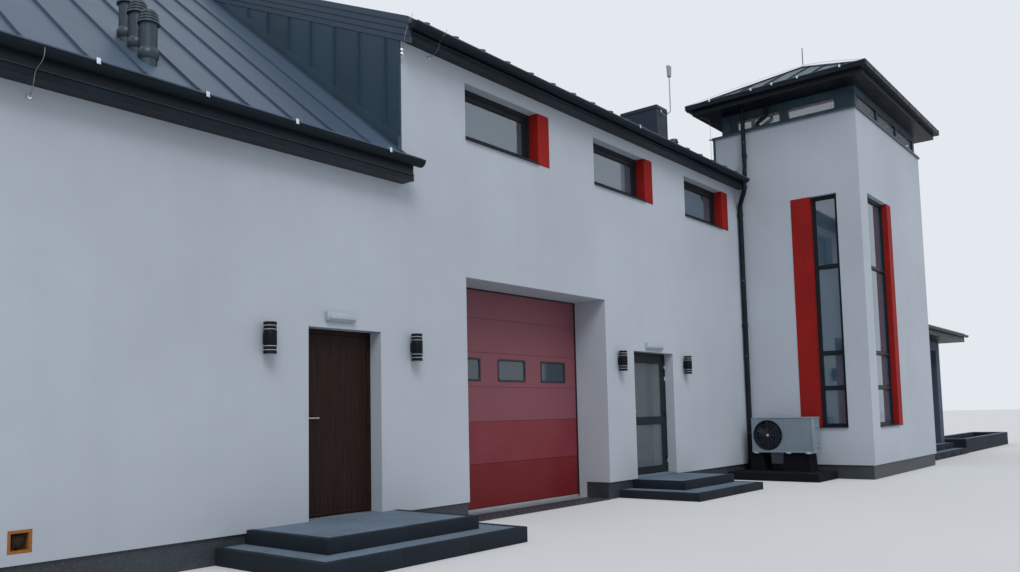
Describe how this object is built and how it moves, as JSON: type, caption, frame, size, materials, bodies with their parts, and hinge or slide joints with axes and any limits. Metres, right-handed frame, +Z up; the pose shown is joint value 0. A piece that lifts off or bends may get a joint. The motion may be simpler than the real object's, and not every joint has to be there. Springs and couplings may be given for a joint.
{
  "type": "fire station building",
  "caption": "White rendered fire station with a steep seamed roof, a raised middle storey, a stair tower with a glazed lantern, a red vehicle door, hinged side doors, steps and a porch.",
  "frame": {"origin": "on the ground, at the middle of the whole object's outline seen from above", "axes": "+X along the front to the right, +Y from the front into the building, +Z up"},
  "size_m": [34.66, 13.661, 9.72],
  "materials": {
    "render": "white thin-coat render, fine grain",
    "base": "dark grey stone-chip plaster",
    "concrete": "concrete",
    "roof_sheet": "graphite coated steel sheet, satin",
    "trim_sheet": "near-black coated steel sheet",
    "red_paint": "red facade paint",
    "window_frame": "anthracite window profile",
    "glass": "insulating glass",
    "door_red": "red coated steel panel, stucco embossed",
    "door_glass": "door light",
    "door_brown": "dark brown wood-grain foil on steel",
    "door_grey": "anthracite coated aluminium",
    "handle": "satin steel",
    "paving": "grey concrete steps with dark kerbs",
    "lamp": "black lamp body",
    "pump_white": "white coated sheet housing",
    "pump_fan": "black fan",
    "rubber": "black rubber block on concrete slab",
    "vent": "black vent pipe",
    "socket": "open box with foam rim",
    "steel": "galvanised rod"
  },
  "bodies": {
    "building": {"plinth": "base", "ground_floor": "concrete", "upper_floor": "concrete", "front_wall_left": "render", "front_wall_garage": "render", "front_wall_right": "render", "front_wall_far": "render", "door_lintels": "render", "front_wall_upper": "render", "rear_wall_lower": "render", "rear_wall_upper": "render", "left_gable_wall": "render", "right_gable_wall": "render", "tower_front_wall": "render", "tower_side_walls": "render", "tower_back_wall": "render", "cheek_walls": "render", "cheek_cladding": "roof_sheet", "front_roof_left": "roof_sheet", "front_roof_middle": "roof_sheet", "front_roof_right": "roof_sheet", "rear_roof_left": "roof_sheet", "rear_roof_middle": "roof_sheet", "rear_roof_right": "roof_sheet", "roof_verges": "trim_sheet", "ridge_cap": "trim_sheet", "gutters": "trim_sheet", "downpipes": "trim_sheet", "tower_lantern": "trim_sheet", "tower_roof": "trim_sheet", "window_frames": "window_frame", "window_glass": "glass", "window_sills": "trim_sheet", "red_bands": "red_paint", "garage_frame": "concrete", "garage_door": "door_red", "garage_door_lights": "door_glass", "office_door_frame": "door_brown", "side_door_frame": "door_grey", "entrance_door": "door_grey", "office_steps": "paving", "side_steps": "paving", "porch_steps": "paving", "planter": "paving", "porch_roof": "trim_sheet", "porch_pillar": "render", "wall_lights": "lamp", "heat_pump_case": "pump_white", "heat_pump_stand": "rubber", "vent_pipes": "vent", "chimney": "trim_sheet", "aerial": "steel", "wall_socket": "socket"},
    "office_door": {"office_door_leaf": "door_brown", "office_door_handle": "handle"},
    "side_door": {"side_door_leaf": "door_grey", "side_door_glass": "door_glass", "side_door_handle": "handle"},
    "fan": {"heat_pump_fan": "pump_fan"}
  },
  "joints": [
    {"name": "office_door_hinge", "type": "hinge", "parent": "building", "child": "office_door", "pos_m": [-9.7005, -3.7515, 0.3], "axis": [0, 0, 1], "range_deg": [0, 88]},
    {"name": "side_door_hinge", "type": "hinge", "parent": "building", "child": "side_door", "pos_m": [-2.5875, -3.7705, 0.3], "axis": [0, 0, 1], "range_deg": [0, 88]},
    {"name": "fan_spin", "type": "hinge", "parent": "building", "child": "fan", "pos_m": [0.275, -4.5335, 0.863], "axis": [1, 0, 0], "continuous": true}
  ]
}
